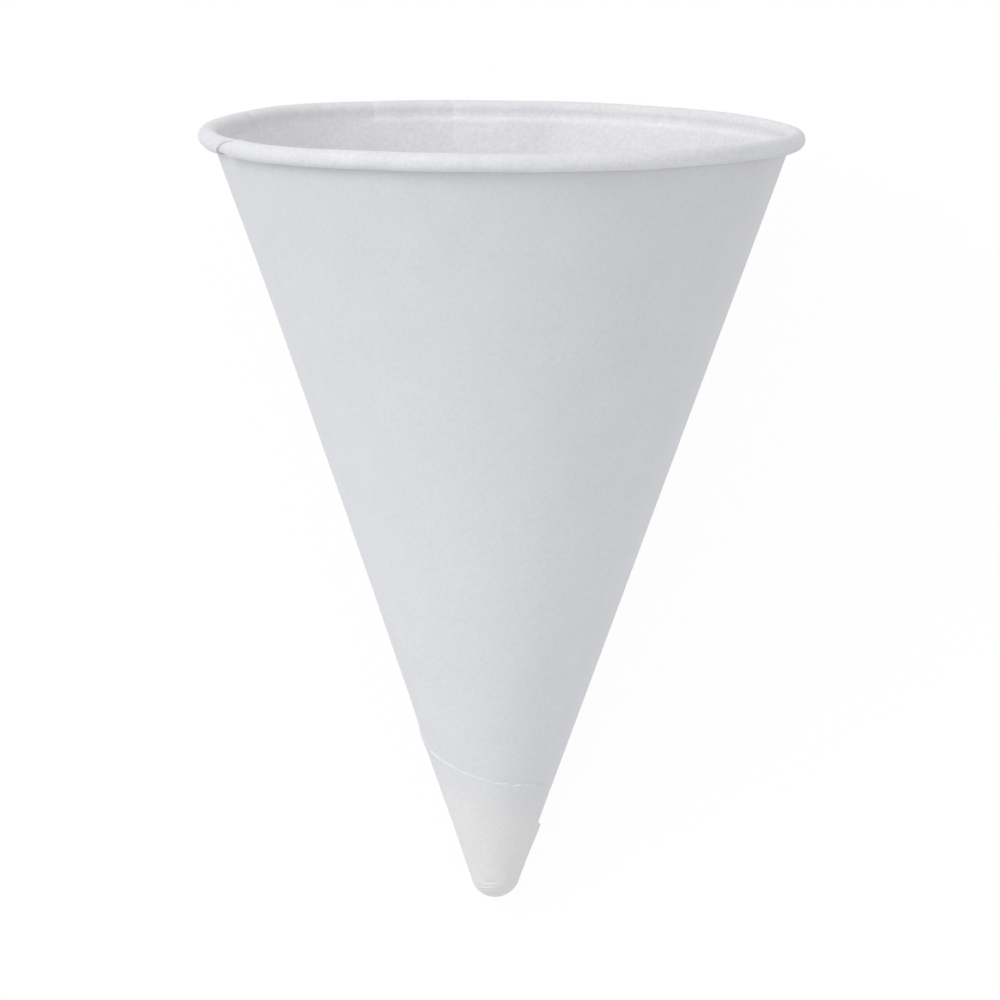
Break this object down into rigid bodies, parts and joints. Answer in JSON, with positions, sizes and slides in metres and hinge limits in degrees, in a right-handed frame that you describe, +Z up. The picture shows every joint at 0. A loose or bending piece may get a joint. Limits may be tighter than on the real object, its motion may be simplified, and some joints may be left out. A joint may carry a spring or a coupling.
{
  "type": "cone paper cup",
  "caption": "Cone-shaped drinking cup wound from one sheet of white paper, with an outward-rolled rim and a wrapped, rounded tip.",
  "frame": {"origin": "on the surface that the cup lies on, under the middle of its box", "axes": "+Z up from that surface; +Y along the cup, from its tip towards its mouth; the side that faces up is the front"},
  "size_m": [0.075, 0.1024, 0.07],
  "materials": {
    "paper": "matt white, lightly waxed"
  },
  "bodies": {
    "root": {"cup": "paper"}
  },
  "joints": []
}
